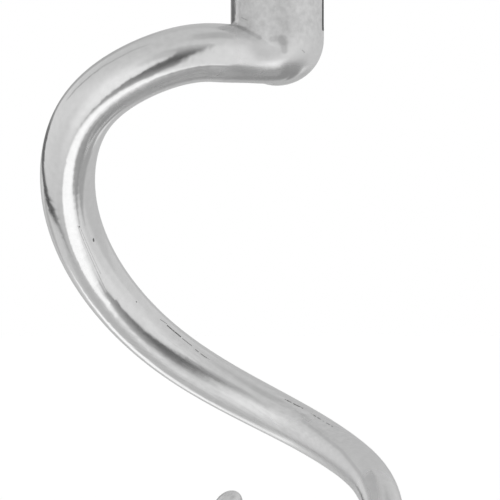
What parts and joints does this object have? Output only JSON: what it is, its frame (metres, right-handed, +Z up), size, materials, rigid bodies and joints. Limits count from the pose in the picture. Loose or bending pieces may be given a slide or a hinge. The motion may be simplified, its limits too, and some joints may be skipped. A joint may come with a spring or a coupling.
{
  "type": "dough hook",
  "caption": "Polished cast spiral dough hook for a planetary mixer: a round tapering arm leaves a socketed hub, winds down behind it and curls up to a round tip.",
  "frame": {"origin": "middle of the hub's top face, at the mouth of the shaft socket", "axes": "+Z up along the mixer's shaft, out of the socket; the hook hangs towards -Z; -Y is the front, the side the picture is taken from; -X is the side the arm leaves the hub to, left in the picture"},
  "size_m": [0.173, 0.1071, 0.3145],
  "materials": {
    "casting": "polished casting, slightly mottled",
    "bushing": "bored and machined"
  },
  "bodies": {
    "root": {"hook_casting": "casting", "hub_bushing": "bushing"}
  },
  "joints": []
}
